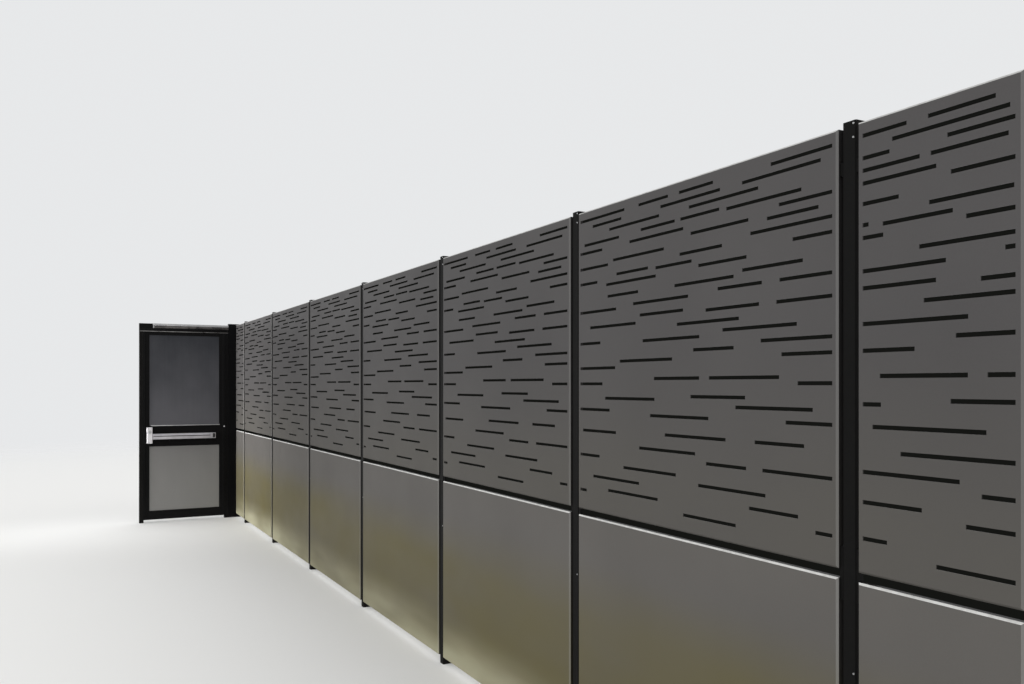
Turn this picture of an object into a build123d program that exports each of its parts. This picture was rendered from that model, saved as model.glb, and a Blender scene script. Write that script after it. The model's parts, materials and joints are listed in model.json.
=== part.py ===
from build123d import *
import os

# Laser-cut metal fence with an exit gate at its far end.
# X runs along the fence, -Y is the street side and Z is up, in millimetres.
# The origin is at the middle of the middle post's lower end.

os.makedirs("parts", exist_ok=True)

# Bays
bay_pitch = 1524
whole_bays = 6
end_bay_pitch = 564

# Posts
post_width = 50
post_depth = 100
post_wall = 4
post_corner = 4
post_rise = 15
end_plate = 6

# Trays that fill the bays
panel_gap = 73
panel_reveal = 8
sheet = 3
bend = 6
return_depth = 25
bottom_gap = 45
lower_height = 1058
middle_gap = 28
upper_height = 1307

# Tabs that carry the trays on the posts, the middle one for both trays
tab_height = 40
middle_tab_height = 160
tab_depth = 14
tab_inset = 120

# Laser-cut slits
slit_height = 12.7
slit_margin = 19
shortest_slit = 10
end_window_start = 475

# Gate opening
jamb_width = 50
jamb_wall = 3
gate_gap = 6
header_height = 76
header_drop = 23

# Gate leaf
leaf_width = 932
leaf_depth = 50
leaf_bottom = 35
stile_width = 50
top_rail_height = 50
lock_rail_bottom = 935
lock_rail_top = 1176
bottom_rail_height = 100
infill_reveal = 8
infill_depth = 22

# Gate hinges
hinge_count = 2
hinge_end_distance = 300
hinge_standoff = 14
knuckle_radius = 12
knuckle_length = 60
knuckle_clearance = 0.3
pin_radius = 6
pin_length = 55
wing_width = 38
wing_thickness = 6

# Exit bar on the leaf
bar_height = 68
bar_depth = 42
bar_wall = 3
bar_centre_height = 1049
bar_hinge_distance = 107
bar_cap_length = 57
bar_cap_depth = 58
pad_clearance = 0.5
pad_end_clearance = 3
pad_back_clearance = 2
pad_reach = 20
pad_travel = 12
pad_bevel = 16

# Latch case on the leaf
latch_case_width = 62
latch_case_height = 196
latch_case_depth = 50
latch_case_bottom = 966
latch_edge_distance = 27
case_edge_radius = 6

# Rows of the cut pattern, each with its height above the panel's lower edge
# and the start and length of every slit, counted from the panel's left edge.
# A slit that runs past the margin of a panel is cut off there.
slit_rows = [
    (1264, [(20, 335), (452, 189), (707, 190), (1178, 265)]),
    (1231, [(118, 215), (594, 340), (1044, 344)]),
    (1199, [(245, 341), (764, 357)]),
    (1163, [(467, 215), (715, 215)]),
    (1157, [(52, 265), (966, 344)]),
    (1126, [(390, 342), (1214, 265)]),
    (1122, [(-145, 338)]),
    (1101, [(774, 301)]),
    (1090, [(1161, 218)]),
    (1067, [(273, 343)]),
    (1053, [(-102, 338), (1084, 361)]),
    (1033, [(710, 234)]),
    (1006, [(298, 217), (1273, 216)]),
    (1000, [(563, 217)]),
    (987, [(-60, 215)]),
    (978, [(817, 249)]),
    (969, [(222, 343)]),
    (935, [(1045, 271)]),
    (919, [(233, 217), (680, 323)]),
    (884, [(921, 217), (1217, 340)]),
    (873, [(415, 345)]),
    (862, [(-40, 336)]),
    (824, [(460, 271)]),
    (814, [(857, 268), (1203, 268)]),
    (794, [(98, 335)]),
    (773, [(694, 335)]),
    (738, [(946, 345)]),
    (726, [(-160, 338)]),
    (721, [(479, 344)]),
    (692, [(1132, 341)]),
    (674, [(788, 215)]),
    (644, [(322, 344), (1225, 268)]),
    (618, [(-47, 336)]),
    (571, [(553, 269), (875, 340)]),
    (551, [(-20, 214), (1294, 216)]),
    (503, [(773, 286)]),
    (490, [(214, 343)]),
    (469, [(1011, 345)]),
    (440, [(-88, 336)]),
    (426, [(528, 344), (1243, 268)]),
    (355, [(621, 341), (1104, 217)]),
    (348, [(40, 255)]),
    (295, [(456, 343)]),
    (264, [(859, 205), (1140, 343)]),
    (241, [(-38, 210)]),
    (208, [(348, 340)]),
    (182, [(816, 338)]),
    (153, [(123, 333)]),
    (132, [(1077, 219)]),
    (103, [(237, 340)]),
    (93, [(1366, 340)]),
    (86, [(-140, 210)]),
    (64, [(731, 282)]),
]

# Places that follow from the sizes above
face_y = -(post_depth / 2 + panel_reveal)
slot_width = (panel_gap - post_width) / 2
upper_bottom = bottom_gap + lower_height + middle_gap
post_top = upper_bottom + upper_height + post_rise
header_bottom = post_top - header_drop - header_height
half_run = whole_bays / 2 * bay_pitch
post_places = [-half_run - end_bay_pitch]
for index in range(whole_bays + 1):
    post_places.append(-half_run + index * bay_pitch)
post_places.append(half_run + end_bay_pitch)

gate_x = post_places[0]
corner_y = -post_depth
corner_front = corner_y - post_depth / 2
hinge_jamb_front = corner_front - jamb_width
leaf_hinge_edge = hinge_jamb_front - gate_gap
leaf_latch_edge = leaf_hinge_edge - leaf_width
latch_jamb_back = leaf_latch_edge - gate_gap
latch_jamb_front = latch_jamb_back - jamb_width
leaf_top = header_bottom - gate_gap
leaf_back_x = gate_x - leaf_depth / 2
leaf_face_x = gate_x + leaf_depth / 2
hinge_axis_x = leaf_back_x - hinge_standoff
hinge_axis_y = hinge_jamb_front - gate_gap / 2
bar_hinge_end = leaf_hinge_edge - bar_hinge_distance
rail_hinge_end = bar_hinge_end - bar_cap_length
case_side = leaf_latch_edge + latch_edge_distance + latch_case_width
rail_length = rail_hinge_end - case_side


# Tabs on one side of a post, each as its middle and height
def tab_places():
    return [
        (bottom_gap + tab_inset, tab_height),
        (upper_bottom - middle_gap / 2, middle_tab_height),
        (upper_bottom + upper_height - tab_inset, tab_height),
    ]


# Slits that fall on a tray, each as its centre and length
def slits_in_window(width, height, window_start):
    slits = []
    for row_height, row in slit_rows:
        if row_height + slit_height / 2 > height - slit_margin:
            continue
        for start, length in row:
            left = max(start - window_start, slit_margin)
            right = min(start + length - window_start, width - slit_margin)
            if right - left >= shortest_slit:
                slits.append(((left + right) / 2, row_height, right - left))
    return slits


# A hollow post closed at both ends, with tabs on the sides that carry trays
def make_post(name, x, y, along_x, along_y, wall, top, tab_sides):
    with BuildPart() as post:
        with BuildSketch(Plane(origin=(x, y, 0))):
            outline = Rectangle(along_x, along_y)
            chamfer(outline.vertices(), post_corner)
        extrude(amount=top)
        with BuildSketch(Plane(origin=(x, y, end_plate))):
            Rectangle(along_x - 2 * wall, along_y - 2 * wall)
        extrude(amount=top - 2 * end_plate, mode=Mode.SUBTRACT)
        for side in tab_sides:
            tab_x = x + side * (along_x + slot_width) / 2
            tab_y = face_y + return_depth - tab_depth / 2
            for tab_z, tab_length in tab_places():
                with Locations((tab_x, tab_y, tab_z)):
                    Box(slot_width, tab_depth, tab_length)
    post.part.label = name
    export_step(post.part, f"parts/{name}.step")


# One sheet folded back on its four edges, drawn on the plane of its face
def make_tray(name, face, width, height, depth, slits):
    with BuildPart() as tray:
        with BuildSketch(face):
            Rectangle(width, height, align=(Align.MIN, Align.MIN))
        extrude(amount=-depth)
        front = tray.faces().sort_by(Axis(face.origin, face.z_dir))[-1]
        chamfer(front.edges(), bend)
        back = tray.faces().sort_by(Axis(face.origin, face.z_dir))[0]
        offset(amount=-sheet, openings=back, kind=Kind.INTERSECTION)
        if slits:
            with BuildSketch(face):
                for along, up, length in slits:
                    with Locations((along, up)):
                        Rectangle(length, slit_height)
            extrude(amount=-sheet, mode=Mode.SUBTRACT)
    tray.part.label = name
    export_step(tray.part, f"parts/{name}.step")


# Posts, numbered from the gate end
for number, place in enumerate(post_places, start=1):
    sides = []
    if number > 1:
        sides.append(-1)
    if number < len(post_places):
        sides.append(1)
    make_post(f"post_{number}", place, 0, post_width, post_depth, post_wall, post_top, sides)

# Trays, numbered from the gate end
for number in range(1, len(post_places)):
    left = post_places[number - 1] + panel_gap / 2
    width = post_places[number] - post_places[number - 1] - panel_gap
    end_bay = number in (1, len(post_places) - 1)
    window_start = end_window_start if end_bay else 0
    lower_face = Plane(origin=(left, face_y, bottom_gap), x_dir=(1, 0, 0), z_dir=(0, -1, 0))
    upper_face = Plane(origin=(left, face_y, upper_bottom), x_dir=(1, 0, 0), z_dir=(0, -1, 0))
    slits = slits_in_window(width, upper_height, window_start)
    make_tray(f"lower_panel_{number}", lower_face, width, lower_height, return_depth, [])
    make_tray(f"upper_panel_{number}", upper_face, width, upper_height, return_depth, slits)

# Corner post in front of the last post, which carries the gate
make_post("corner_post", gate_x, corner_y, post_width, post_depth, post_wall, post_top, [])

# Jambs on both sides of the leaf
for name, jamb_y in [
    ("hinge_jamb", corner_front - jamb_width / 2),
    ("latch_jamb", latch_jamb_back - jamb_width / 2),
]:
    make_post(name, gate_x, jamb_y, post_width, jamb_width, jamb_wall, header_bottom, [])

# Header across both jambs, closed at its free end
with BuildPart() as header:
    header_end = Plane(
        origin=(gate_x, corner_front, header_bottom + header_height / 2),
        x_dir=(1, 0, 0),
        z_dir=(0, -1, 0),
    )
    header_length = corner_front - latch_jamb_front
    with BuildSketch(header_end):
        Rectangle(post_width, header_height)
    extrude(amount=header_length)
    with BuildSketch(header_end):
        Rectangle(post_width - 2 * jamb_wall, header_height - 2 * jamb_wall)
    extrude(amount=header_length - jamb_wall, mode=Mode.SUBTRACT)
header.part.label = "gate_header"
export_step(header.part, "parts/gate_header.step")

# Welded frame of the leaf, hollow all round
with BuildPart() as leaf_frame:
    leaf_back = Plane(
        origin=(leaf_back_x, leaf_latch_edge, leaf_bottom),
        x_dir=(0, 1, 0),
        z_dir=(1, 0, 0),
    )
    window_width = leaf_width - 2 * stile_width
    lower_window_bottom = bottom_rail_height
    lower_window_top = lock_rail_bottom - leaf_bottom
    upper_window_bottom = lock_rail_top - leaf_bottom
    upper_window_top = leaf_top - top_rail_height - leaf_bottom
    with BuildSketch(leaf_back) as leaf_outline:
        Rectangle(leaf_width, leaf_top - leaf_bottom, align=(Align.MIN, Align.MIN))
        with Locations((stile_width, lower_window_bottom)):
            Rectangle(
                window_width,
                lower_window_top - lower_window_bottom,
                align=(Align.MIN, Align.MIN),
                mode=Mode.SUBTRACT,
            )
        with Locations((stile_width, upper_window_bottom)):
            Rectangle(
                window_width,
                upper_window_top - upper_window_bottom,
                align=(Align.MIN, Align.MIN),
                mode=Mode.SUBTRACT,
            )
    extrude(amount=leaf_depth)
    with BuildSketch(leaf_back.offset(jamb_wall)):
        add(leaf_outline.sketch_local)
        offset(amount=-jamb_wall, kind=Kind.INTERSECTION, mode=Mode.REPLACE)
    extrude(amount=leaf_depth - 2 * jamb_wall, mode=Mode.SUBTRACT)
leaf_frame.part.label = "leaf_frame"
export_step(leaf_frame.part, "parts/leaf_frame.step")

# Plain trays that close the leaf above and below the lock rail
infill_x = leaf_face_x - infill_reveal
infill_y = leaf_latch_edge + stile_width
for name, bottom, top in [
    ("lower_infill", lower_window_bottom, lower_window_top),
    ("upper_infill", upper_window_bottom, upper_window_top),
]:
    infill_face = Plane(
        origin=(infill_x, infill_y, leaf_bottom + bottom),
        x_dir=(0, 1, 0),
        z_dir=(1, 0, 0),
    )
    make_tray(name, infill_face, window_width, top - bottom, infill_depth, [])

# Hinges on the far side of the gate, a fixed pin and a turning knuckle each
first_hinge = leaf_bottom + hinge_end_distance
last_hinge = leaf_top - hinge_end_distance
for number in range(1, hinge_count + 1):
    share = (number - 1) / (hinge_count - 1)
    hinge_z = first_hinge + share * (last_hinge - first_hinge)
    wing_x = leaf_back_x - wing_thickness / 2
    with BuildPart() as hinge_pin:
        with BuildSketch(Plane(origin=(hinge_axis_x, hinge_axis_y, hinge_z - knuckle_length))):
            Circle(knuckle_radius)
        extrude(amount=knuckle_length)
        with BuildSketch(Plane(origin=(hinge_axis_x, hinge_axis_y, hinge_z))):
            Circle(pin_radius)
        extrude(amount=pin_length)
        with Locations((wing_x, hinge_axis_y + wing_width / 2, hinge_z - knuckle_length / 2)):
            Box(wing_thickness, wing_width, knuckle_length)
    hinge_pin.part.label = f"hinge_pin_{number}"
    export_step(hinge_pin.part, f"parts/hinge_pin_{number}.step")
    knuckle_bottom = hinge_z + knuckle_clearance
    with BuildPart() as knuckle:
        with BuildSketch(Plane(origin=(hinge_axis_x, hinge_axis_y, knuckle_bottom))):
            Circle(knuckle_radius)
        extrude(amount=knuckle_length)
        with Locations((wing_x, hinge_axis_y - wing_width / 2, knuckle_bottom + knuckle_length / 2)):
            Box(wing_thickness, wing_width, knuckle_length)
        with BuildSketch(Plane(origin=(hinge_axis_x, hinge_axis_y, knuckle_bottom))):
            Circle(pin_radius + knuckle_clearance)
        extrude(amount=knuckle_length, mode=Mode.SUBTRACT)
    knuckle.part.label = f"hinge_knuckle_{number}"
    export_step(knuckle.part, f"parts/hinge_knuckle_{number}.step")

# Rail of the exit bar, a channel open towards the user
bar_section = Plane(
    origin=(leaf_face_x, rail_hinge_end, bar_centre_height),
    x_dir=(1, 0, 0),
    z_dir=(0, -1, 0),
)
with BuildPart() as bar_rail:
    with BuildSketch(bar_section):
        Rectangle(bar_depth, bar_height, align=(Align.MIN, Align.CENTER))
        with Locations((bar_wall, 0)):
            Rectangle(
                bar_depth - bar_wall,
                bar_height - 2 * bar_wall,
                align=(Align.MIN, Align.CENTER),
                mode=Mode.SUBTRACT,
            )
    extrude(amount=rail_length)
bar_rail.part.label = "bar_rail"
export_step(bar_rail.part, "parts/bar_rail.step")

# Push pad that slides into the rail
with BuildPart() as push_pad:
    pad_back = bar_wall + pad_travel + pad_back_clearance
    pad_front = bar_depth + pad_reach
    pad_height = bar_height - 2 * bar_wall - 2 * pad_clearance
    with BuildSketch(bar_section.offset(pad_end_clearance)):
        with BuildLine():
            Polyline(
                (pad_back, -pad_height / 2),
                (pad_front, -pad_height / 2),
                (pad_front, pad_height / 2 - pad_bevel),
                (pad_front - pad_bevel, pad_height / 2),
                (pad_back, pad_height / 2),
                close=True,
            )
        make_face()
    extrude(amount=rail_length - 2 * pad_end_clearance)
push_pad.part.label = "push_pad"
export_step(push_pad.part, "parts/push_pad.step")

# End cap of the bar at the hinge side
with BuildPart() as bar_end_cap:
    with BuildSketch(Plane(origin=(leaf_face_x, 0, 0), x_dir=(0, 1, 0), z_dir=(1, 0, 0))):
        with Locations((rail_hinge_end, bar_centre_height)):
            Rectangle(bar_cap_length, bar_height, align=(Align.MIN, Align.CENTER))
    extrude(amount=bar_cap_depth)
    fillet(bar_end_cap.faces().sort_by(Axis.X)[-1].edges(), case_edge_radius)
bar_end_cap.part.label = "bar_end_cap"
export_step(bar_end_cap.part, "parts/bar_end_cap.step")

# Latch case at the free edge of the leaf
with BuildPart() as latch_case:
    with BuildSketch(Plane(origin=(leaf_face_x, 0, 0), x_dir=(0, 1, 0), z_dir=(1, 0, 0))):
        with Locations((case_side, latch_case_bottom)):
            Rectangle(latch_case_width, latch_case_height, align=(Align.MAX, Align.MIN))
    extrude(amount=latch_case_depth)
    fillet(latch_case.faces().sort_by(Axis.X)[-1].edges(), case_edge_radius)
latch_case.part.label = "latch_case"
export_step(latch_case.part, "parts/latch_case.step")
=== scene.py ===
# %% [markdown]
# # A laser-cut street fence with an exit gate
# The real fence is a row of folded sheet-metal trays hung between black posts. The upper trays are cut with
# rows of slits, and a gate with an exit bar closes the far end. The shapes come from the CAD model. This
# script loads them and adds what CAD leaves out: finishes, screws, tack welds, trims and small hardware.

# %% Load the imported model
import json
from math import radians

import bmesh
import bpy
from mathutils import Matrix, Vector


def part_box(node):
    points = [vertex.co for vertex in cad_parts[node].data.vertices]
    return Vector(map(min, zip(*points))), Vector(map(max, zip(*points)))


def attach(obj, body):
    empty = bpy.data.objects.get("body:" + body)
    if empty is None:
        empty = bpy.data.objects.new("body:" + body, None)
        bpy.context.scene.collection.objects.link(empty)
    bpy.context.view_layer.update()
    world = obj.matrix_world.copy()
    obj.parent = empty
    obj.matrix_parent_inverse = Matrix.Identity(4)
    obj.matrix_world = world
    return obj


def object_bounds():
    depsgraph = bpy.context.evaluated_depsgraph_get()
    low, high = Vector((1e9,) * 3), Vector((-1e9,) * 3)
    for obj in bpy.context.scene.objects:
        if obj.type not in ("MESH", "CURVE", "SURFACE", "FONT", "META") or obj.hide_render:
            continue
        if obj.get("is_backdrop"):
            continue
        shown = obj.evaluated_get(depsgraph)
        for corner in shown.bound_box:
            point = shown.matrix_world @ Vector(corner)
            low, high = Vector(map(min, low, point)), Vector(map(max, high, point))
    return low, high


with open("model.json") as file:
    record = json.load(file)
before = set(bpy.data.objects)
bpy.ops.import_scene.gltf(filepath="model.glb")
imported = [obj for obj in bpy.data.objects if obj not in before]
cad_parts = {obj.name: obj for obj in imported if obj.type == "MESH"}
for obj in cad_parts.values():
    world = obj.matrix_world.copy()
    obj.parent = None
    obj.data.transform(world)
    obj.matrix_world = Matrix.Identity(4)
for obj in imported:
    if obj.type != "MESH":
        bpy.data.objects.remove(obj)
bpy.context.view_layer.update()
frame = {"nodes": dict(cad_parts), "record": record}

# %% [markdown]
# ## Camera
# The photograph was taken at eye height beside the near end of the fence, looking along it. The camera is
# level to a fraction of a degree, so the posts stay upright in the picture. The horizon lies a little under
# the middle of the picture, which a small vertical shift gives without tilting the camera. The camera's
# place, direction and lens were fitted to the trays' corners in the photograph.

# %% Camera
camera_data = bpy.data.cameras.new("street_camera")
camera_data.sensor_width = 36
camera_data.lens = 30.779
camera_data.shift_y = 0.04144
camera = bpy.data.objects.new("street_camera", camera_data)
bpy.context.scene.collection.objects.link(camera)
camera.location = (6.3932, -2.127, 1.6758)
ahead = Vector((-0.88542, 0.46479, 0.00093))
camera.rotation_euler = ahead.to_track_quat("-Z", "Y").to_euler()
bpy.context.scene.camera = camera
bpy.context.scene.view_settings.view_transform = "Standard"
print("camera at", tuple(camera.location))

# %% [markdown]
# ## Helpers for nodes
# A finish is a small graph of nodes. Every finish here starts from the same three things: the material, its
# shader and the Object coordinates. All pieces sit at the origin in metres, so Object coordinates are real
# places on the fence, and a pattern keeps its true size and runs on from one piece to the next. The first
# helpers add nodes, and mix values and colours.

# %% Helpers that add and mix nodes
def add_node(tree, kind, sockets=None, **settings):
    made = tree.nodes.new(kind)
    for name, value in settings.items():
        setattr(made, name, value)
    for name, value in (sockets or {}).items():
        if isinstance(value, bpy.types.NodeSocket):
            tree.links.new(value, made.inputs[name])
        else:
            made.inputs[name].default_value = value
    return made


def start_finish(name, **constants):
    """A new material, its nodes, its shader and the Object coordinates"""
    finish = bpy.data.materials.new(name)
    finish.use_nodes = True
    tree = finish.node_tree
    shader = tree.nodes["Principled BSDF"]
    for socket, value in constants.items():
        shader.inputs[socket.replace("_", " ")].default_value = value
    place = add_node(tree, "ShaderNodeTexCoord").outputs["Object"]
    return finish, tree, shader, place


def remap(tree, value, low, high, to_low, to_high, smooth=False):
    kind = "SMOOTHSTEP" if smooth else "LINEAR"
    node = add_node(tree, "ShaderNodeMapRange", {
        "Value": value, "From Min": low, "From Max": high, "To Min": to_low, "To Max": to_high,
    }, interpolation_type=kind)
    return node.outputs["Result"]


def combine(tree, operation, first, second):
    node = add_node(tree, "ShaderNodeMath", {0: first, 1: second}, operation=operation)
    return node.outputs["Value"]


def tint(tree, share, low, high):
    """A colour between two, low where the share is 0 and high where it is 1"""
    node = add_node(tree, "ShaderNodeMix", {0: share}, data_type="RGBA")
    for socket, colour in ((6, low), (7, high)):
        if isinstance(colour, bpy.types.NodeSocket):
            tree.links.new(colour, node.inputs[socket])
        else:
            node.inputs[socket].default_value = (*colour, 1)
    return node.outputs[2]


def finish_with(tree, shader, colour, roughness, bump, depth):
    """Link the colour, the roughness and a bump whose height of 1 is a depth in metres"""
    node = add_node(tree, "ShaderNodeBump", {"Height": bump, "Strength": 1.0, "Distance": depth})
    tree.links.new(colour, shader.inputs["Base Color"])
    tree.links.new(roughness, shader.inputs["Roughness"])
    tree.links.new(node.outputs["Normal"], shader.inputs["Normal"])


print("node helpers are ready")

# %% [markdown]
# ## Helpers that read the surface
# Weather marks a fence by height: splash lies low. The painted highlight and the painted shade on the trays
# go
# by the way a surface looks: the highlight lies on bends that look up, and the shade on the sides and ledges
# in the gaps. So the next helpers turn the place and the direction of the surface into shares from 0 to 1.
# Noise breaks the marks up, as they are never even.

# %% Helpers that read the surface
def cloud(tree, place, scale, detail, roughness=0.5):
    """Noise stretched by a scale for each axis, in cycles a metre"""
    spread = add_node(tree, "ShaderNodeMapping", {"Vector": place, "Scale": scale})
    noise = add_node(tree, "ShaderNodeTexNoise", {
        "Vector": spread.outputs["Vector"], "Scale": 1.0, "Detail": detail, "Roughness": roughness,
    })
    return noise.outputs["Fac"]


def patches(tree, place, scale, detail, low, high):
    """Noise as a value between two, because most of it lies from 0.3 to 0.7"""
    return remap(tree, cloud(tree, place, scale, detail), 0.3, 0.7, low, high)


def height_of(tree, place):
    return add_node(tree, "ShaderNodeSeparateXYZ", {"Vector": place}).outputs["Z"]


def surface_parts(tree):
    """How much the surface looks along X, Y and Z, each from -1 to 1"""
    normal = add_node(tree, "ShaderNodeTexCoord").outputs["Normal"]
    return add_node(tree, "ShaderNodeSeparateXYZ", {"Vector": normal}).outputs


def bend_share(tree, axis):
    """1 on a bend that looks half to the front and half along an axis, 0 on flat faces"""
    parts = surface_parts(tree)
    both = combine(tree, "MULTIPLY", parts[axis], parts["Y"])
    # The front looks along -Y, so both is -0.5 on a bend halfway between the two
    return remap(tree, both, -0.20, -0.42, 0.0, 1.0)


def straight_share(tree, part, most):
    """Rises from 0 to a share where a part of the surface's direction comes near 1"""
    return remap(tree, part, 0.80, 0.95, 0.0, most)


print("surface helpers are ready")

# %% [markdown]
# ## The trays' paint
# The trays are sprayed with a satin grey metallic powder coat. From near it shows a fine grain of flakes and
# an orange-peel surface, and from further off it has faint clouds of tone and rain streaks. The lower trays
# carry a painted reflection of the plants in front of them, warmer and greener downwards, and pale splash
# lies on their lowest part. A painted highlight, speckled like dust, lies on every bend that looks up, so
# each tray has a bright line along its top, and a weaker painted highlight lies on the bends that look
# towards the near end. Painted shade darkens the folded sides in the slots by the posts and the ledge in the
# gap between the trays. Height and the direction of the surface give all of it. A large sheet is never quite
# flat, so a slow wave lies under the orange peel.

# %% Parts of the trays' paint
def flaked_grey(tree, place, dark, light):
    """Faint clouds of tone, rain streaks and a grain of flakes"""
    clouds = patches(tree, place, (1.1, 1.1, 0.7), 3.0, 0.0, 1.0)
    streaks = remap(tree, cloud(tree, place, (9, 9, 0.5), 1.0), 0.35, 0.75, 0.0, 0.05)
    flakes = remap(tree, cloud(tree, place, (420, 420, 420), 1.0), 0.25, 0.75, -0.22, 0.22)
    tone = combine(tree, "ADD", combine(tree, "ADD", clouds, streaks), flakes)
    return tint(tree, remap(tree, tone, -0.2, 1.6, 0.0, 1.0), dark, light)


def low_share(tree, place, foot, top):
    """Rises downwards between two heights, in broad patches"""
    below = remap(tree, height_of(tree, place), foot, top, 1.0, 0.0, smooth=True)
    broad = patches(tree, place, (0.8, 0.8, 2.1), 2.0, 0.55, 1.0)
    return combine(tree, "MULTIPLY", below, broad)


def splash_share(tree, place, top):
    """Most at the foot, none above a height, and uneven along the fence"""
    settled = remap(tree, height_of(tree, place), 0.03, top, 0.9, 0.0, smooth=True)
    patchy = remap(tree, cloud(tree, place, (0.9, 0.9, 4), 2.0), 0.35, 0.65, 0.35, 1.0)
    return combine(tree, "MULTIPLY", settled, patchy)


def top_bend_highlight(tree, place, most):
    """A painted highlight on the bends that look up, speckled like dust"""
    speckle = remap(tree, cloud(tree, place, (30, 30, 30), 4.0, 0.6), 0.3, 0.6, 0.7, 1.0)
    return combine(tree, "MULTIPLY", bend_share(tree, "Z"), combine(tree, "MULTIPLY", speckle, most))


def sheet_surface(tree, place):
    """Orange peel on a slow wave that is forty times as high"""
    peel = cloud(tree, place, (330, 330, 330), 2.0)
    wave = combine(tree, "MULTIPLY", cloud(tree, place, (1.9, 1.9, 1.6), 1.0), 40.0)
    return combine(tree, "ADD", peel, wave)


print("the parts of the trays' paint are ready")

# %% The trays' paint
# Near-black for the painted shade in the slots by the posts and on the ledge in the gap
painted_shade_colour = (0.012, 0.011, 0.011)
slot_shade = 0.8
# A pale colour for the painted highlight on the bends
bend_highlight_colour = (0.78, 0.78, 0.76)
dust_roughness = 0.36
peel_depth = 0.00012


def tray_paint(
    name, dark, light, low_tone_and_reflection, low_foot, low_top, splash, splash_top, top_highlight, side_highlight, ledge_shade,
):
    finish, tree, shader, place = start_finish(name, Metallic=0.25, Specular_IOR_Level=0.04)
    paint = flaked_grey(tree, place, dark, light)
    # Warmer downwards; on the lower trays this is a painted reflection of the plants in front
    paint = tint(tree, low_share(tree, place, low_foot, low_top), paint, low_tone_and_reflection)
    splashed = splash_share(tree, place, splash_top)
    paint = tint(tree, splashed, paint, splash)
    parts = surface_parts(tree)
    # Painted shade on the folded sides in the slots by the posts
    slot_side_shade = straight_share(tree, combine(tree, "ABSOLUTE", parts["X"], 0.0), slot_shade)
    paint = tint(tree, slot_side_shade, paint, painted_shade_colour)
    # Painted shade on the ledge that looks up in the gap between the trays
    paint = tint(tree, straight_share(tree, parts["Z"], ledge_shade), paint, painted_shade_colour)
    # Painted highlight on the bends that look up, speckled like dust
    up = top_bend_highlight(tree, place, top_highlight)
    # A weaker painted highlight on the bends that look towards the near end
    side_bend = bend_share(tree, "X")
    highlight_share = combine(tree, "MAXIMUM", up, combine(tree, "MULTIPLY", side_bend, side_highlight))
    colour = tint(tree, highlight_share, paint, bend_highlight_colour)
    worn = patches(tree, place, (2, 2, 3), 3.0, 0.41, 0.50)
    covered = combine(tree, "MAXIMUM", splashed, combine(tree, "MAXIMUM", up, side_bend))
    roughness = combine(tree, "ADD", worn, combine(tree, "MULTIPLY", covered, dust_roughness))
    finish_with(tree, shader, colour, roughness, sheet_surface(tree, place), peel_depth)
    return finish


# The upper trays hang above the splash, so theirs ends below them
upper_paint = tray_paint(
    "upper_tray_paint", dark=(0.0860, 0.0825, 0.0830), light=(0.112, 0.107, 0.106),
    low_tone_and_reflection=(0.110, 0.104, 0.094), low_foot=1.10, low_top=1.90,
    splash=(0.13, 0.125, 0.11), splash_top=0.04,
    top_highlight=0.62, side_highlight=0.12, ledge_shade=0.0,
)
# The lower trays' warm, green low colour is a painted reflection of plants
lower_paint = tray_paint(
    "lower_tray_paint", dark=(0.120, 0.1135, 0.1065), light=(0.153, 0.145, 0.136),
    low_tone_and_reflection=(0.143, 0.125, 0.060), low_foot=0.58, low_top=0.94,
    splash=(0.47, 0.45, 0.32), splash_top=0.36,
    top_highlight=0.95, side_highlight=0.16, ledge_shade=0.9,
)
print("tray paints:", upper_paint.name, lower_paint.name)

# %% [markdown]
# ## Black paint of the posts and the gate's frame
# The posts and the gate's tubes are black, with the soft gloss of a powder coat that has stood outdoors for
# some years. Rain splash leaves pale dust on the lowest half metre of the gate and somewhat higher on the
# posts, and thin runs further up. The tone stays under a few percent, so the shapes read through their gloss
# alone.

# %% Black paint
dust_lift = 2.1
black_peel_depth = 0.0001


def black_paint(name, tone, splash_top):
    finish, tree, shader, place = start_finish(name, Specular_IOR_Level=0.06)
    runs = remap(tree, cloud(tree, place, (45, 45, 0.8), 4.0), 0.45, 0.8, 0.0, 0.35)
    grain = patches(tree, place, (60, 60, 40), 3.0, 0.0, 0.25)
    marks = combine(tree, "ADD", runs, grain)
    splash = remap(tree, height_of(tree, place), 0.0, splash_top, 0.5, 0.0, smooth=True)
    dust = combine(tree, "ADD", marks, splash)
    dusty_tone = tuple(channel * dust_lift for channel in tone)
    colour = tint(tree, dust, tone, dusty_tone)
    roughness = remap(tree, dust, 0.0, 1.0, 0.46, 0.68)
    peel = cloud(tree, place, (400, 400, 400), 2.0)
    finish_with(tree, shader, colour, roughness, peel, black_peel_depth)
    return finish


post_paint = black_paint("post_paint", (0.0048, 0.0046, 0.0044), splash_top=0.9)
gate_frame_paint = black_paint("gate_frame_paint", (0.0040, 0.0039, 0.0040), splash_top=0.5)
# A darker copy of the black paint for the corner post: painted shade in the corner by the gate
shaded_corner_paint = black_paint("shaded_corner_paint", (0.0024, 0.0024, 0.0026), splash_top=0.5)
print("black paints:", post_paint.name, gate_frame_paint.name, shaded_corner_paint.name)

# %% [markdown]
# ## Paint of the gate's plain trays
# The leaf is closed by two plain sheets in a cooler, darker grey. The upper one carries painted shade of the
# header: it is darkest at its top and paler further down. The lower one is paler all over. Height drives the
# tone, and clouds and streaks break it up.

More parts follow.
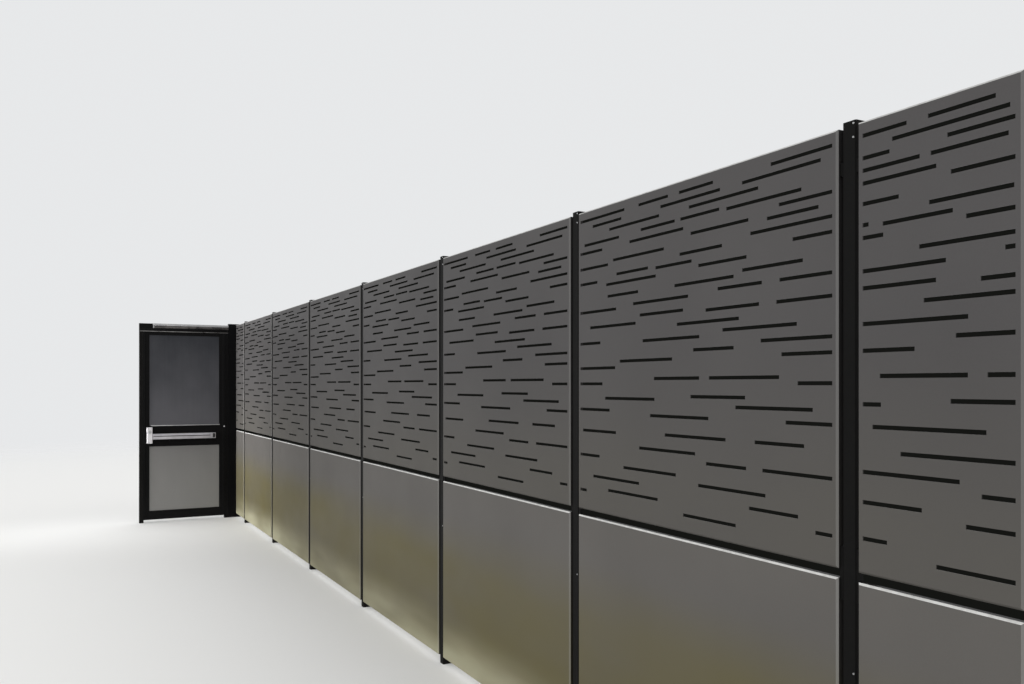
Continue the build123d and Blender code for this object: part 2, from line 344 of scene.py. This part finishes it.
# %% Paint of the gate's plain trays
def infill_paint(name, top_tone, foot_tone, foot, top):
    finish, tree, shader, place = start_finish(name, Metallic=0.2, Specular_IOR_Level=0.2)
    # Darker towards the top; on the upper sheet this is painted shade under the header
    fade = remap(tree, height_of(tree, place), foot, top, 1.0, 0.0)
    clouds = patches(tree, place, (3, 3, 2), 4.0, -0.16, 0.16)
    streaks = remap(tree, cloud(tree, place, (40, 40, 1.0), 3.0), 0.4, 0.8, 0.0, 0.07)
    share = combine(tree, "ADD", combine(tree, "ADD", fade, clouds), streaks)
    colour = tint(tree, share, top_tone, foot_tone)
    roughness = patches(tree, place, (8, 8, 4), 5.0, 0.42, 0.56)
    peel = cloud(tree, place, (330, 330, 330), 2.0)
    finish_with(tree, shader, colour, roughness, peel, peel_depth)
    return finish


upper_infill_low, upper_infill_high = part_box("upper_infill")
lower_infill_low, lower_infill_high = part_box("lower_infill")
# The upper sheet's dark top tone is painted shade under the header
upper_infill_paint = infill_paint(
    "upper_infill_paint", top_tone=(0.026, 0.028, 0.033), foot_tone=(0.095, 0.094, 0.103),
    foot=upper_infill_low.z, top=upper_infill_high.z,
)
lower_infill_paint = infill_paint(
    "lower_infill_paint", top_tone=(0.190, 0.186, 0.182), foot_tone=(0.240, 0.236, 0.228),
    foot=lower_infill_low.z, top=lower_infill_high.z,
)
print("infill paints:", upper_infill_paint.name, lower_infill_paint.name)

# %% [markdown]
# ## Bare metals
# The exit bar is brushed aluminium: its fine scratches all run along the bar, so the noise is stretched
# along Y. The latch case is paler, with a grain that has no direction, and the screws are zinc. The header's
# face is a dark grey metal with a soft shine, whose grey is a painted reflection on the black header, and
# its flashing is dull zinc. Only noise changes with place. Constant values go straight into the shader.

# %% Metals of the bar and the screws
def metal(name, dark, light, grain, smoothest, roughest, depth, metallic=1.0):
    """Scratches and smudges shift the tone and the gloss, each between two values"""
    finish, tree, shader, place = start_finish(name, Metallic=metallic)
    scratches = cloud(tree, place, grain, 4.0, 0.65)
    smudges = patches(tree, place, (14, 14, 10), 4.0, 0.0, 0.5)
    share = combine(tree, "ADD", remap(tree, scratches, 0.3, 0.7, 0.0, 0.6), smudges)
    roughness = remap(tree, share, 0.0, 1.1, smoothest, roughest)
    finish_with(tree, shader, tint(tree, share, dark, light), roughness, scratches, depth)
    return finish


bar_metal = metal(
    "brushed_aluminium", dark=(0.46, 0.445, 0.47), light=(0.68, 0.66, 0.69), grain=(700, 8, 700),
    smoothest=0.26, roughest=0.42, depth=0.00005,
)
case_metal = metal(
    "latch_case_metal", dark=(0.64, 0.62, 0.64), light=(0.75, 0.73, 0.75), grain=(90, 90, 90),
    smoothest=0.34, roughest=0.46, depth=0.00003, metallic=0.2,
)
screw_metal = metal(
    "zinc", dark=(0.42, 0.42, 0.43), light=(0.62, 0.62, 0.62), grain=(300, 300, 300),
    smoothest=0.34, roughest=0.5, depth=0.00004,
)
print("metals:", bar_metal.name, case_metal.name, screw_metal.name)

# %% Metals of the header and the bright trims
header_reflection_metal = metal(
    "header_reflection_metal", dark=(0.016, 0.015, 0.016), light=(0.13, 0.12, 0.115), grain=(45, 2.5, 45),
    smoothest=0.2, roughest=0.36, depth=0.0001, metallic=0.8,
)
lip_metal = metal(
    "header_lip_metal", dark=(0.05, 0.048, 0.046), light=(0.34, 0.33, 0.32), grain=(20, 3, 20),
    smoothest=0.24, roughest=0.4, depth=0.0001, metallic=0.8,
)
dull_zinc = metal(
    "dull_zinc", dark=(0.30, 0.30, 0.31), light=(0.42, 0.42, 0.42), grain=(60, 60, 60),
    smoothest=0.4, roughest=0.55, depth=0.00004, metallic=0.2,
)
print("header metals:", header_reflection_metal.name, lip_metal.name, dull_zinc.name)

# %% [markdown]
# ## Rubber
# The grip strip of the push pad and the insert of the bar's end cap are black rubber. It is almost black
# and dull, with a very fine grain and a few paler, worn places. Two noises are enough: a fine one gives
# the bump, and a broad one gives the wear.

# %% Rubber
def rubber(name):
    finish, tree, shader, place = start_finish(name, Specular_IOR_Level=0.3)
    grain = cloud(tree, place, (900, 900, 900), 2.0)
    wear = cloud(tree, place, (30, 30, 30), 4.0)
    colour = tint(tree, wear, (0.010, 0.010, 0.010), (0.024, 0.023, 0.022))
    finish_with(tree, shader, colour, remap(tree, wear, 0.2, 0.8, 0.55, 0.75), grain, 0.0001)
    return finish


black_rubber = rubber("black_rubber")
print("rubber:", black_rubber.name)

# %% [markdown]
# ## Give the CAD nodes their finishes
# The record names a material slot for each node, and that is enough for most of them. The gate's frame, its
# plain trays and the latch case have a finish of their own in the photograph, so they are named one by one.

# %% Give the CAD nodes their finishes
finish_of_slot = {
    "slit_panels": upper_paint,
    "plain_panels": lower_paint,
    "black_posts": post_paint,
    "bar_metal": bar_metal,
}
finish_of_node = {
    "upper_infill": upper_infill_paint,
    "lower_infill": lower_infill_paint,
    "leaf_frame": gate_frame_paint,
    "gate_header": gate_frame_paint,
    "hinge_jamb": gate_frame_paint,
    "corner_post": shaded_corner_paint,
    "latch_case": case_metal,
}
for part in frame["record"]["subparts"]:
    name = part["node"]
    finish = finish_of_node.get(name) or finish_of_slot[part["material_slot"]]
    node = frame["nodes"][name]
    for material_slot in node.material_slots:
        material_slot.material = finish

# %% [markdown]
# ## Helpers for small pieces
# Every added piece is drawn with bmesh operators straight at its place on the fence, so its object stays at
# the origin. Boxes and round heads are enough for most hardware: a cube is scaled and its edges bevelled,
# and a screw head is a short cone with an inset, sunk drive.

# %% Helpers for small pieces
def finish_piece(shape, name, body, finish):
    """Turn the drawn shape into a piece that moves with a body"""
    bmesh.ops.recalc_face_normals(shape, faces=shape.faces)
    mesh = bpy.data.meshes.new(name)
    shape.to_mesh(mesh)
    shape.free()
    mesh.shade_smooth()
    mesh.set_sharp_from_angle(angle=radians(35))
    mesh.materials.append(finish)
    piece = bpy.data.objects.new(name, mesh)
    bpy.context.scene.collection.objects.link(piece)
    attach(piece, body)
    triangles = sum(len(face.vertices) - 2 for face in mesh.polygons)
    print(name, "rides on", body, "with", triangles, "triangles")


def draw_box(shape, low, high, edge):
    """A box between two corners, with its edges rounded by a width"""
    low, high = Vector(low), Vector(high)
    size = high - low
    place = Matrix.Translation((low + high) / 2) @ Matrix.Diagonal((*size, 1))
    made = bmesh.ops.create_cube(shape, size=1, matrix=place)
    edges = {e for v in made["verts"] for e in v.link_edges}
    bmesh.ops.bevel(
        shape, geom=list(edges), offset=edge, segments=2, profile=0.5, affect="EDGES", material=-1,
    )


def facing(direction, place):
    """A placing that turns +Z towards a direction and moves to a place"""
    turn = Vector(direction).to_track_quat("Z", "Y").to_matrix().to_4x4()
    return Matrix.Translation(Vector(place)) @ turn


def draw_screw(shape, place, direction, radius, rise, sides=14):
    """A pan-head screw with a sunk drive, standing on a face"""
    at = facing(direction, place)
    made = bmesh.ops.create_cone(
        shape, cap_ends=True, segments=sides, radius1=radius, radius2=radius * 0.72, depth=rise,
        matrix=at @ Matrix.Translation((0, 0, rise / 2)),
    )
    top = max({f for v in made["verts"] for f in v.link_faces},
              key=lambda face: (at.inverted() @ face.calc_center_median()).z)
    bmesh.ops.inset_individual(shape, faces=[top], thickness=radius * 0.34)
    bmesh.ops.inset_individual(shape, faces=[top], thickness=radius * 0.06, depth=-rise * 0.45)


print("piece helpers are ready")

# %% [markdown]
# ## Screws that hold the trays
# Each tray is held by four screws that go through its side folds into the tabs on the posts. Their heads
# are inside the folds, so they show from behind. Their heights and sides follow from the trays' own boxes,
# and they sit at the middle of the tabs' depth.

# %% Screws that hold the trays
sheet = 0.003
tray_face = -0.058
return_depth = 0.025
tab_depth = 0.014
tab_middle = tray_face + return_depth - tab_depth / 2
end_screw_inset = 0.120
middle_screw_inset = 0.040
tray_names = [f"{level}_panel_{number}" for level in ("lower", "upper") for number in range(1, 9)]
shape = bmesh.new()
for name in tray_names:
    low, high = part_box(name)
    heights = [low.z + end_screw_inset, high.z - middle_screw_inset]
    if name.startswith("upper"):
        heights = [low.z + middle_screw_inset, high.z - end_screw_inset]
    for side_x, direction in ((low.x + sheet, 1), (high.x - sheet, -1)):
        for height in heights:
            draw_screw(shape, (side_x, tab_middle, height), (direction, 0, 0),
                       radius=0.0055, rise=0.0030, sides=12)
finish_piece(shape, "tray_screws", "fence", screw_metal)

# %% [markdown]
# ## Small screws on the posts
# Two small bright screws near the top of each post, and one lower down, stand by the post's near edge in the
# photograph. They are taken as the screws of the post's cap and of a clip, with round heads 7 mm across.

# %% Small screws on the posts
post_names = [f"post_{number}" for number in range(1, 10)]
post_face = -0.050
screw_aside = 0.0165
cap_screw_drop = 0.009
second_screw_drop = 0.050
clip_screw_height = 0.831
shape = bmesh.new()
for name in post_names:
    low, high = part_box(name)
    middle = (low.x + high.x) / 2
    for height in (high.z - cap_screw_drop, high.z - second_screw_drop, clip_screw_height):
        draw_screw(shape, (middle + screw_aside, post_face, height), (0, -1, 0),
                   radius=0.0035, rise=0.0022, sides=12)
finish_piece(shape, "post_screws", "fence", screw_metal)

# %% [markdown]
# ## Tack welds in the trays' corners
# A folded tray has an open corner where two folds meet, and the maker closes it with a few short welds on
# the inside. Each weld is a small ball drawn out along the corner, and three of them sit in every inner
# corner.

# %% Tack welds in the trays' corners
tack_radius = 0.0024
tack_stretch = 1.7
tack_inset = 0.001
tack_depths = (0.006, 0.012, 0.018)


def draw_tack(shape, place):
    at = Matrix.Translation(Vector(place)) @ Matrix.Diagonal((1, tack_stretch, 1, 1))
    bmesh.ops.create_icosphere(shape, subdivisions=1, radius=tack_radius, matrix=at)


shape = bmesh.new()
for name in tray_names:
    low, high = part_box(name)
    for corner_x in (low.x + sheet + tack_inset, high.x - sheet - tack_inset):
        for corner_z in (low.z + sheet + tack_inset, high.z - sheet - tack_inset):
            for depth in tack_depths:
                draw_tack(shape, (corner_x, tray_face + sheet + depth, corner_z))
finish_piece(shape, "corner_tacks", "fence", upper_paint)

# %% [markdown]
# ## Header trims
# A bright line runs along the top edge of the header. It begins a little inside the left end, where it turns
# down, and reads as a folded metal flashing. A dark grey face plate with a soft shine stands under it, and
# its grey is a painted reflection on the black header. Thin boxes on the header's top and face give both.

# %% Header flashing
header_low, header_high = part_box("gate_header")
flashing = 0.003
flashing_top = 0.002
trim_start = header_low.y + 0.155
trim_height = 0.022
leg_height = 0.055
leg_width = 0.014
shape = bmesh.new()
draw_box(shape, (header_low.x, trim_start, header_high.z),
         (header_high.x + flashing, header_high.y, header_high.z + flashing_top), edge=0.0006)
draw_box(shape, (header_high.x, trim_start, header_high.z - trim_height),
         (header_high.x + flashing, header_high.y, header_high.z), edge=0.0006)
draw_box(shape, (header_high.x, trim_start, header_high.z - leg_height),
         (header_high.x + flashing, trim_start + leg_width, header_high.z - trim_height), edge=0.0006)
finish_piece(shape, "header_flashing", "fence", dull_zinc)

# %% Header face plate
plate = 0.002
plate_gap = 0.001
stop_rise = 0.022
plate_start = trim_start + leg_width + plate_gap
shape = bmesh.new()
# Its grey metal is a painted reflection on the black header
draw_box(shape, (header_high.x, plate_start, header_low.z + stop_rise + plate_gap),
         (header_high.x + plate, header_high.y, header_high.z - trim_height - plate_gap), edge=0.0005)
finish_piece(shape, "header_face", "fence", header_reflection_metal)

# %% [markdown]
# ## Header stop and its bead
# The leaf closes against a flat bar along the header's foot. It is seated on the header, and it stays 1 mm
# clear of the leaf where it hangs in front of it. A rounded bead of a duller metal runs along its lower
# edge. It is the faint line that the photograph shows there.

# %% Header stop
stop_thickness = 0.004
stop_end_inset = 0.006
header_stop_clear = 0.001
lip_front = 0.0037
lip_drop = 0.022
lip_lap = 0.004
header_lip = header_low.z - lip_drop
stop_start = header_low.y + stop_end_inset
stop_finish = header_high.y - stop_end_inset
shape = bmesh.new()
draw_box(shape, (header_high.x, stop_start, header_low.z),
         (header_high.x + stop_thickness, stop_finish, header_low.z + stop_rise), edge=0.001)
draw_box(shape, (header_high.x + header_stop_clear, stop_start, header_lip),
         (header_high.x + lip_front, stop_finish, header_low.z + lip_lap), edge=0.001)
finish_piece(shape, "header_stop", "fence", gate_frame_paint)

# %% Bead of the header stop
lip_bead_back = 0.0015
lip_bead_front = 0.007
lip_bead_end_inset = 0.005
lip_bead_drop = 0.0005
lip_bead_rise = 0.008
lip_bead_start = header_low.y + lip_bead_end_inset
lip_bead_finish = header_high.y - lip_bead_end_inset
shape = bmesh.new()
draw_box(shape, (header_high.x + lip_bead_back, lip_bead_start, header_lip - lip_bead_drop),
         (header_high.x + lip_bead_front, lip_bead_finish, header_lip + lip_bead_rise), edge=0.002)
finish_piece(shape, "header_lip_bead", "fence", lip_metal)

# %% [markdown]
# ## Stops beside the leaf
# The leaf opens away from the exit bar, so it closes against stops on the bar's side. They cover the gaps
# beside the leaf, which is why no light shows round it in the photograph. Each is a flat bar seated on its
# jamb, and a thin rebate keeps it half a millimetre clear of the leaf.

# %% Stops beside the leaf
leaf_low, leaf_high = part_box("leaf_frame")
stop_overlap = 0.012
stop_seat = 0.012
leaf_gap = 0.006
rebate = 0.0005
stop_lap = 0.002
shape = bmesh.new()
for leaf_side, inwards, jamb in ((leaf_low.y, 1, "latch_jamb"), (leaf_high.y, -1, "hinge_jamb")):
    jamb_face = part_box(jamb)[1].x
    outer = leaf_side - inwards * (leaf_gap + stop_seat)
    seat_end = leaf_side - inwards * leaf_gap
    inner = leaf_side + inwards * stop_overlap
    draw_box(shape, (jamb_face, min(outer, seat_end), leaf_low.z),
             (leaf_high.x + stop_thickness, max(outer, seat_end), header_lip), edge=0.001)
    draw_box(shape, (leaf_high.x + rebate, min(seat_end, inner) - stop_lap, leaf_low.z),
             (leaf_high.x + lip_front, max(seat_end, inner) + stop_lap, header_lip), edge=0.001)
finish_piece(shape, "side_stops", "fence", gate_frame_paint)
print("faces of leaf and header:", round(leaf_high.x, 4), round(header_high.x, 4), round(jamb_face, 4))

# %% [markdown]
# ## Beads round the infills
# Thin beads hold the two plain sheets in the leaf. A thin bright line runs where the upper sheet meets the
# lock rail, and the bead there is drawn in pale bare metal as a painted highlight, where it looks up into
# the light. The other three sides of that sheet and all four of the lower one have the bead in the frame's
# black.

# %% Bright bead under the upper infill
bead = 0.008
bright_bead_extra = 0.002
bright_bead_inset = 0.025
leaf_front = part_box("leaf_frame")[1].x
bright_front = leaf_front - 0.0005
shape = bmesh.new()
low, high = upper_infill_low, upper_infill_high
# The bead's pale metal is a painted highlight where it looks up into the light
draw_box(shape, (high.x, low.y + bright_bead_inset, low.z),
         (bright_front, high.y, low.z + bead + bright_bead_extra), edge=0.0015)
finish_piece(shape, "bright_bead", "gate_leaf", dull_zinc)

# %% Black beads
black_front = leaf_front - 0.001
shape = bmesh.new()
for low, high, has_bottom in (
    (upper_infill_low, upper_infill_high, False),
    (lower_infill_low, lower_infill_high, True),
):
    draw_box(shape, (high.x, low.y, low.z), (black_front, low.y + bead, high.z), edge=0.0015)
    draw_box(shape, (high.x, high.y - bead, low.z), (black_front, high.y, high.z), edge=0.0015)
    draw_box(shape, (high.x, low.y, high.z - bead), (black_front, high.y, high.z), edge=0.0015)
    if has_bottom:
        draw_box(shape, (high.x, low.y, low.z), (black_front, high.y, low.z + bead), edge=0.0015)
finish_piece(shape, "black_beads", "gate_leaf", gate_frame_paint)

# %% [markdown]
# ## Exit bar details
# The push pad shows two bright bands with a dark line between them, which is a rubber strip set along the
# pad under its sloping top. A dark insert closes the bar near the hinge side, beside two screws. The latch
# case carries a key cylinder and four small screws.

# %% Grip strip on the push pad
pad_low, pad_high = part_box("push_pad")
grip_sunk = 0.004
grip_proud = 0.0015
grip_end_inset = 0.006
grip_foot = pad_high.z - 0.030
grip_top = pad_high.z - 0.021
shape = bmesh.new()
draw_box(shape, (pad_high.x - grip_sunk, pad_low.y + grip_end_inset, grip_foot),
         (pad_high.x + grip_proud, pad_high.y - grip_end_inset, grip_top), edge=0.0012)
finish_piece(shape, "pad_grip", "push_pad", black_rubber)

# %% Insert and screws of the bar's end cap
cap_low, cap_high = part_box("bar_end_cap")
insert_sunk = 0.003
insert_margin = 0.007
insert_start = cap_high.y - 0.036
insert_finish = cap_high.y - 0.009
shape = bmesh.new()
draw_box(shape, (cap_high.x - insert_sunk, insert_start, cap_low.z + insert_margin),
         (cap_high.x + grip_proud, insert_finish, cap_high.z - insert_margin), edge=0.0012)
finish_piece(shape, "cap_insert", "gate_leaf", black_rubber)
cap_screw_inset = 0.018
cap_screw_y = cap_low.y + 0.013
shape = bmesh.new()
for height in (cap_low.z + cap_screw_inset, cap_high.z - cap_screw_inset):
    draw_screw(shape, (cap_high.x, cap_screw_y, height), (1, 0, 0), radius=0.0036, rise=0.0020)
finish_piece(shape, "cap_screws", "gate_leaf", screw_metal)

# %% Key cylinder of the latch case
case_low, case_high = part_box("latch_case")
case_middle = (case_low.y + case_high.y) / 2
cylinder_height = case_high.z - 0.055
collar_rise = 0.006
keyway_low = (case_high.x + 0.0030, case_middle - 0.0012, cylinder_height - 0.006)
keyway_high = (case_high.x + 0.0044, case_middle + 0.0012, cylinder_height + 0.006)
shape = bmesh.new()
collar = facing((1, 0, 0), (case_high.x + collar_rise / 2, case_middle, cylinder_height))
bmesh.ops.create_cone(
    shape, cap_ends=True, segments=40, radius1=0.019, radius2=0.0165, depth=collar_rise, matrix=collar,
)
front = max(shape.faces, key=lambda face: face.calc_center_median().x)
bmesh.ops.inset_individual(shape, faces=[front], thickness=0.004)
bmesh.ops.inset_individual(shape, faces=[front], thickness=0.0004, depth=-0.002)
draw_box(shape, keyway_low, keyway_high, edge=0.0004)
finish_piece(shape, "key_cylinder", "gate_leaf", screw_metal)

# %% Screws of the latch case
case_screw_inset = 0.014
shape = bmesh.new()
for side_y in (case_low.y + case_screw_inset, case_high.y - case_screw_inset):
    for height in (case_low.z + case_screw_inset, case_high.z - case_screw_inset):
        draw_screw(shape, (case_high.x, side_y, height), (1, 0, 0), radius=0.0038, rise=0.0020)
finish_piece(shape, "case_screws", "gate_leaf", screw_metal)

# %% [markdown]
# ## Button on the hinge side
# A small white dot shows on the black stop beside the leaf, level with the top of the lock rail. It is
# taken as a round stainless button, such as a door sensor's cap, and it stands on the face of the stop.

# %% Button on the hinge side
button_height = 1.158
button_aside = 0.003
button_rise = 0.004
button_middle = leaf_high.x + stop_thickness + button_rise / 2
shape = bmesh.new()
at = facing((1, 0, 0), (button_middle, leaf_high.y + button_aside, button_height))
bmesh.ops.create_cone(
    shape, cap_ends=True, segments=28, radius1=0.0085, radius2=0.0065, depth=button_rise, matrix=at,
)
front = max(shape.faces, key=lambda face: face.calc_center_median().x)
bmesh.ops.inset_individual(shape, faces=[front], thickness=0.0015, depth=0.0006)
finish_piece(shape, "stop_button", "fence", case_metal)

# %% [markdown]
# ## Floor
# A plain pale floor carries the fence's soft shadow. Far out it fades to clear, so it runs into the backdrop
# without an edge. The fade is only for the rays that see the backdrop: the camera's, and those that metal or
# glass sends on. All other light still meets the whole floor.

# %% Floor
floor_reach = 60
fade_start = 9.0
fade_end = 24.0


def backdrop_rays(tree):
    """1 for the camera's rays, and for those that metal or glass sends on to the backdrop"""
    path = add_node(tree, "ShaderNodeLightPath").outputs
    bounced = combine(tree, "MAXIMUM", path["Is Glossy Ray"], path["Is Transmission Ray"])
    return combine(tree, "MAXIMUM", path["Is Camera Ray"], bounced)


shape = bmesh.new()
bmesh.ops.create_grid(shape, x_segments=1, y_segments=1, size=floor_reach)
floor_mesh = bpy.data.meshes.new("floor")
shape.to_mesh(floor_mesh)
shape.free()
floor_finish, tree, shader, place = start_finish(
    "pale_floor", Base_Color=(0.74, 0.74, 0.73, 1), Roughness=0.8, Specular_IOR_Level=0.2,
)
far = add_node(tree, "ShaderNodeVectorMath", {0: place}, operation="LENGTH").outputs["Value"]
distance_fade = remap(tree, far, fade_start, fade_end, 0.0, 1.0, smooth=True)
fade = combine(tree, "MULTIPLY", distance_fade, backdrop_rays(tree))
clear = add_node(tree, "ShaderNodeBsdfTransparent").outputs["BSDF"]
faded = add_node(tree, "ShaderNodeMixShader", {0: fade, 1: shader.outputs["BSDF"], 2: clear})
tree.links.new(faded.outputs["Shader"], tree.nodes["Material Output"].inputs["Surface"])
floor_mesh.materials.append(floor_finish)
floor = bpy.data.objects.new("floor", floor_mesh)
bpy.context.scene.collection.objects.link(floor)
floor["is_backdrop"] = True
print("floor is", 2 * floor_reach, "m wide")

# %% [markdown]
# ## Lamps
# Soft light lets the finishes speak. One long softbox lifts the front of the fence, and one at the near end
# catches the bends that face it. The gate shades the last bays, so a softbox with a grid, which keeps its
# light in a narrow beam, lifts them again.

# %% Lamps
def softbox(name, place, target, width, height, power, spread=180):
    data = bpy.data.lights.new(name, "AREA")
    data.shape = "RECTANGLE"
    data.size = width
    data.size_y = height
    data.energy = power
    data.spread = radians(spread)
    lamp = bpy.data.objects.new(name, data)
    bpy.context.scene.collection.objects.link(lamp)
    lamp.location = place
    direction = Vector(target) - Vector(place)
    lamp.rotation_euler = direction.to_track_quat("-Z", "Y").to_euler()


softbox("front_softbox", place=(2.5, -9, 4.0), target=(2.5, 0, 1.2), width=15, height=5, power=85)
softbox("near_softbox", place=(11.5, -1.6, 2.6), target=(4, -0.1, 1.4), width=2, height=4, power=50)
softbox("gate_softbox", place=(-4.65, -6.0, 1.8), target=(-4.65, 0, 1.2), width=1.5, height=1.5, power=30,
        spread=44)

# %% [markdown]
# ## World
# The world works as a light tent: brightest right above and dimmer towards the horizon, as a cloudy sky is,
# so faces that look up come out brighter than upright ones and every bay gets the same light. The camera and
# the reflections meet a plain pale backdrop in its place.

# %% World
horizon_light = 0.48
zenith_light = 1.50
backdrop_colour = (0.80, 0.81, 0.82, 1)
world = bpy.data.worlds.new("studio")
world.use_nodes = True
bpy.context.scene.world = world
tree = world.node_tree
tree.nodes.clear()
direction = add_node(tree, "ShaderNodeTexCoord").outputs["Generated"]
tent = remap(tree, height_of(tree, direction), 0.0, 1.0, horizon_light, zenith_light)
light = add_node(tree, "ShaderNodeBackground", {"Color": (1, 1, 1, 1), "Strength": tent})
seen = add_node(tree, "ShaderNodeBackground", {"Color": backdrop_colour, "Strength": 1.0})
either = add_node(tree, "ShaderNodeMixShader", {
    0: backdrop_rays(tree), 1: light.outputs["Background"], 2: seen.outputs["Background"],
})
add_node(tree, "ShaderNodeOutputWorld", {"Surface": either.outputs["Shader"]})
print("world nodes:", len(tree.nodes))

# %% [markdown]
# ## Dark cards behind the cuts
# The slits of the real fence read as black lines, because it is dark behind them. A pale studio would turn
# them white, so black cards stand close behind the cuts as painted shade, as a photographer hangs them
# behind a subject. Here one card hides inside each upper tray and one behind the gap between the trays. They
# are part of the stage, only the camera sees them, and from behind they are clear.

# %% Finish of the dark cards
shade_card_finish = bpy.data.materials.new("dark_card")
shade_card_finish.use_nodes = True
tree = shade_card_finish.node_tree
tree.nodes.clear()
# A near-black glow: the painted shade behind the slits
dark = add_node(tree, "ShaderNodeEmission", {"Color": (0.0075, 0.0078, 0.0068, 1), "Strength": 1.0})
clear = add_node(tree, "ShaderNodeBsdfTransparent")
side = add_node(tree, "ShaderNodeNewGeometry")
card_mix = add_node(tree, "ShaderNodeMixShader", {
    0: side.outputs["Backfacing"], 1: dark.outputs["Emission"], 2: clear.outputs["BSDF"],
})
add_node(tree, "ShaderNodeOutputMaterial", {"Surface": card_mix.outputs["Shader"]})
print("card nodes:", len(tree.nodes))


# %% Dark cards behind the cuts
def draw_card(shape, low_x, high_x, low_z, high_z, y):
    """An upright card that looks the same way as the trays"""
    size = Matrix.Diagonal((high_x - low_x, high_z - low_z, 1, 1))
    middle = Vector(((low_x + high_x) / 2, y, (low_z + high_z) / 2))
    upright = Matrix.Rotation(radians(90), 4, "X")
    bmesh.ops.create_grid(
        shape, x_segments=1, y_segments=1, size=0.5, matrix=Matrix.Translation(middle) @ upright @ size,
    )


card_inset = 0.004
tray_card_y = -0.036
gap_card_y = -0.030
shape = bmesh.new()
for number in range(1, 9):
    low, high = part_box(f"upper_panel_{number}")
    draw_card(shape, low.x + card_inset, high.x - card_inset, low.z + card_inset, high.z - card_inset,
              tray_card_y)
gap_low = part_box("lower_panel_1")[1].z
gap_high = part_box("upper_panel_1")[0].z
gap_card_foot = gap_low - 0.035
gap_card_top = gap_high + 0.010
first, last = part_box("post_1")[0].x + 0.01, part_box("post_9")[1].x - 0.01
draw_card(shape, first, last, gap_card_foot, gap_card_top, gap_card_y)
card_mesh = bpy.data.meshes.new("dark_cards")
shape.to_mesh(card_mesh)
shape.free()
card_mesh.materials.append(shade_card_finish)
cards = bpy.data.objects.new("dark_cards", card_mesh)
bpy.context.scene.collection.objects.link(cards)
cards.visible_shadow = False
cards.visible_diffuse = False
cards.visible_glossy = False
cards.visible_transmission = False
cards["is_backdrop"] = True
print("dark cards:", len(card_mesh.polygons), "facing", tuple(card_mesh.polygons[0].normal))

# %% [markdown]
# ## Measure
# The added pieces are meant to stay inside the CAD model's box, so the box round all that is shown, without
# the stage, is printed.

# %% Measure
low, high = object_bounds()
print("visual box", [round(v, 4) for v in (*low, *high)])
